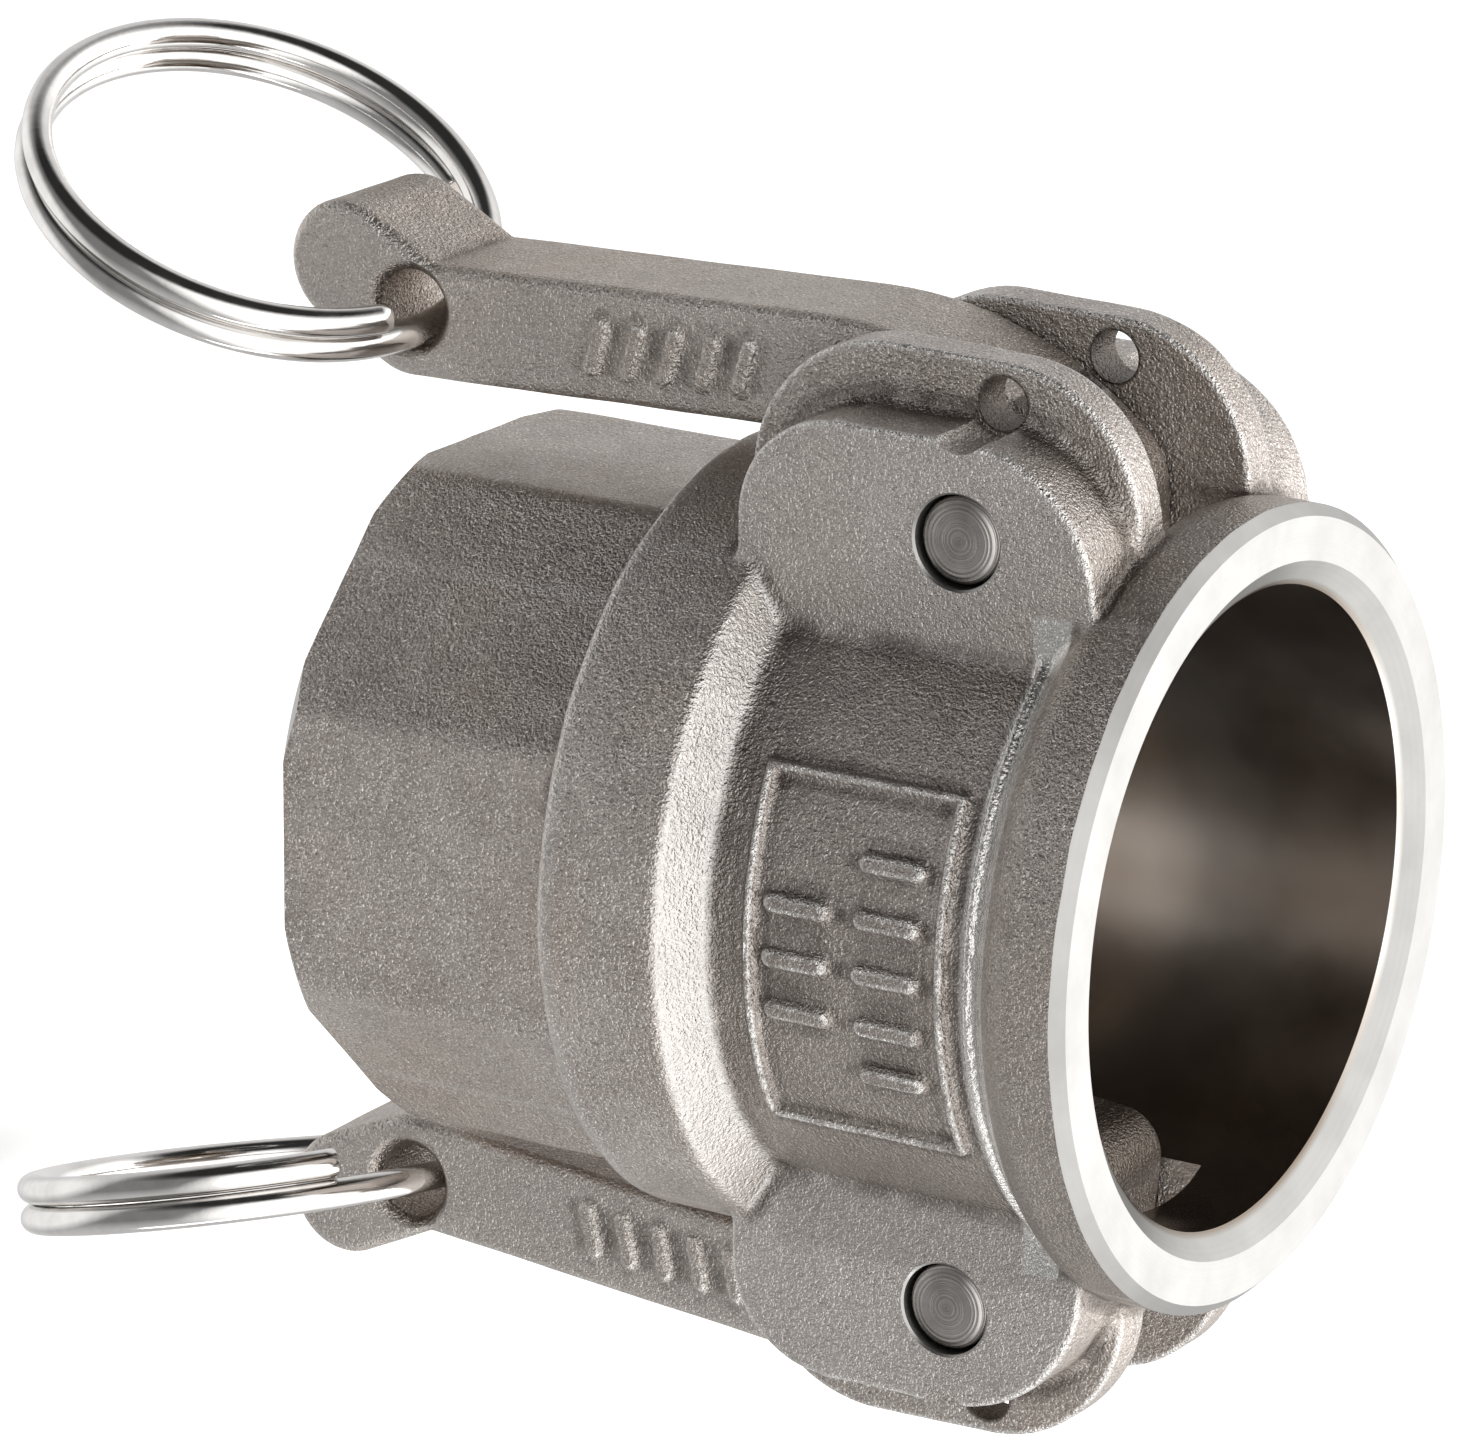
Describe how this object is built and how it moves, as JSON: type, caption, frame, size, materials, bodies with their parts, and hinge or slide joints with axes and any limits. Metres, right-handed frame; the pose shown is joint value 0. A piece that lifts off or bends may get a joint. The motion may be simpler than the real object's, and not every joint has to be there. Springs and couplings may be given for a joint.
{
  "type": "cam and groove coupler",
  "caption": "Quick-release hose coupler in cast stainless steel: a socket with cam arms on pivot pins, split pull rings, a gasket and a female pipe thread.",
  "frame": {"origin": "centre of the pipe end face, on the bore axis", "axes": "+Z along the bore towards the socket's mouth, +X towards the right arm, pivot pins along Y"},
  "size_m": [0.0952, 0.058, 0.1019],
  "materials": {
    "cast_steel": "blasted cast stainless steel, machined bright at the mouth",
    "arm_steel": "blasted cast stainless steel",
    "turned_steel": "turned end faces",
    "polished_wire": "polished spring wire",
    "gasket_rubber": "matt"
  },
  "bodies": {
    "coupler": {"body": "cast_steel", "gasket": "gasket_rubber", "pivot_pin_left": "turned_steel", "pivot_pin_right": "turned_steel"},
    "arm_left": {"cam_arm_left": "arm_steel"},
    "arm_right": {"cam_arm_right": "arm_steel"},
    "ring_left": {"pull_ring_left": "polished_wire"},
    "ring_right": {"pull_ring_right": "polished_wire"}
  },
  "joints": [
    {"name": "arm_left_hinge", "type": "hinge", "parent": "coupler", "child": "arm_left", "pos_m": [-0.0281, 0, 0.05], "axis": [0, 1, 0], "range_deg": [-3.5, 115]},
    {"name": "arm_right_hinge", "type": "hinge", "parent": "coupler", "child": "arm_right", "pos_m": [0.0281, 0, 0.05], "axis": [0, -1, 0], "range_deg": [0, 118.5]},
    {"name": "ring_left_hinge", "type": "hinge", "parent": "arm_left", "child": "ring_left", "pos_m": [-0.03533, 0, -0.00199], "axis": [0, 1, 0], "range_deg": [-70, 130]},
    {"name": "ring_right_hinge", "type": "hinge", "parent": "arm_right", "child": "ring_right", "pos_m": [0.03214, 0, -0.00234], "axis": [0, -1, 0], "range_deg": [-70, 140]}
  ]
}
